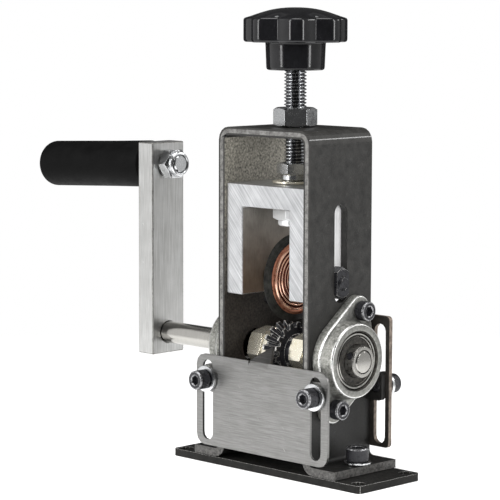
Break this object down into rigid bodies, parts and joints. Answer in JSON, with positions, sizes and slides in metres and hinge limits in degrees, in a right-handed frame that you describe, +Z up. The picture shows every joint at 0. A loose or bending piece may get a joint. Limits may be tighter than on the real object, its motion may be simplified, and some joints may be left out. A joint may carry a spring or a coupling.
{
  "type": "cable stripping machine",
  "caption": "Hand-cranked bench cable stripping machine: toothed feed wheel, screw-down cutter disc, slotted guide plates and flange bearings in a bent steel frame.",
  "frame": {"origin": "underside of the base plate, under the middle of the frame", "axes": "+Z up, X along the crank shaft with the crank on the -X side, -Y towards the front plate"},
  "size_m": [0.2239, 0.0602, 0.2062],
  "materials": {
    "frame_paint": "satin black paint over rolled steel",
    "black_steel": "black oxide",
    "zinc": "bright zinc plating",
    "yellow_zinc": "yellow zinc plating",
    "cast_housing": "bare grainy casting",
    "bearing_seal": "dark seal face",
    "bright_steel": "ground steel",
    "arm_aluminium": "drawn bar",
    "block_aluminium": "milled",
    "blade": "dark ground steel",
    "copper": "turned copper",
    "knob_plastic": "gloss black",
    "grip_rubber": "matt black",
    "plate_steel": "fine brushed sheet",
    "dark_plate": "dark sheet with bare cut edges"
  },
  "bodies": {
    "frame": {"base_plate": "frame_paint", "frame_strip": "frame_paint", "top_nut": "zinc", "foot_bolt_left": "black_steel", "foot_bolt_right": "black_steel", "foot_washer_left": "zinc", "foot_washer_right": "zinc", "bearing_housing_left": "cast_housing", "bearing_housing_right": "cast_housing", "bearing_outer_left": "bearing_seal", "bearing_outer_right": "bearing_seal", "housing_bolt_left_upper": "black_steel", "housing_bolt_left_lower": "black_steel", "housing_bolt_right_upper": "black_steel", "housing_bolt_right_lower": "black_steel", "front_bolt_left": "black_steel", "front_bolt_right": "black_steel", "rear_bolt_left": "black_steel", "rear_bolt_right": "black_steel", "front_washer_left": "zinc", "front_washer_right": "zinc", "rear_washer_left": "zinc", "rear_washer_right": "zinc"},
    "crank": {"drive_shaft": "bright_steel", "feed_wheel": "black_steel", "wheel_nut_left": "yellow_zinc", "wheel_nut_right": "yellow_zinc", "wheel_locknut_left": "yellow_zinc", "wheel_locknut_right": "yellow_zinc", "bearing_ring_left": "bright_steel", "bearing_ring_right": "bright_steel", "bearing_grub_left_1": "black_steel", "bearing_grub_left_2": "black_steel", "bearing_grub_right_1": "black_steel", "bearing_grub_right_2": "black_steel", "crank_arm": "arm_aluminium", "arm_grub_screw": "black_steel", "handle_bolt": "zinc", "handle_nut": "zinc"},
    "grip": {"hand_grip": "grip_rubber"},
    "carriage": {"carriage_block": "block_aluminium", "cutter_axle": "black_steel", "thrust_washer": "yellow_zinc", "slot_nut_left": "black_steel", "slot_nut_right": "black_steel", "axle_spacer_left": "bright_steel", "axle_spacer_right": "bright_steel"},
    "screw": {"adjusting_screw": "zinc", "star_knob": "knob_plastic", "screw_nut": "zinc", "retaining_nut": "zinc"},
    "cutter": {"cutter_disc": "blade", "cutter_bush": "bright_steel", "copper_ring_left": "copper", "copper_ring_right": "copper"},
    "front_plate_body": {"front_plate": "plate_steel"},
    "rear_plate_body": {"rear_plate": "dark_plate"}
  },
  "joints": [
    {"name": "crank_turn", "type": "hinge", "parent": "frame", "child": "crank", "pos_m": [0, 0, 0.053], "axis": [1, 0, 0], "continuous": true},
    {"name": "grip_spin", "type": "hinge", "parent": "crank", "child": "grip", "pos_m": [-0.0872, 0, 0.1325], "axis": [0.9988, 0, 0.0497], "continuous": true},
    {"name": "carriage_slide", "type": "slide", "parent": "frame", "child": "carriage", "axis": [0, 0, 1], "range_m": [-0.001, 0.0117]},
    {"name": "knob_turn", "type": "hinge", "parent": "carriage", "child": "screw", "pos_m": [0, 0, 0.1535], "axis": [0, 0, 1], "range_deg": [-241, 2809]},
    {"name": "cutter_spin", "type": "hinge", "parent": "carriage", "child": "cutter", "pos_m": [0, 0, 0.0864], "axis": [1, 0, 0], "continuous": true},
    {"name": "front_plate_slide", "type": "slide", "parent": "frame", "child": "front_plate_body", "axis": [0, 0, 1], "range_m": [-0.0055, 0.014]},
    {"name": "rear_plate_slide", "type": "slide", "parent": "frame", "child": "rear_plate_body", "axis": [0, 0, 1], "range_m": [-0.011, 0.023]}
  ],
  "couplings": [
    {"joint": "knob_turn", "follows": "carriage_slide", "rad_per_m": 4188.8}
  ]
}
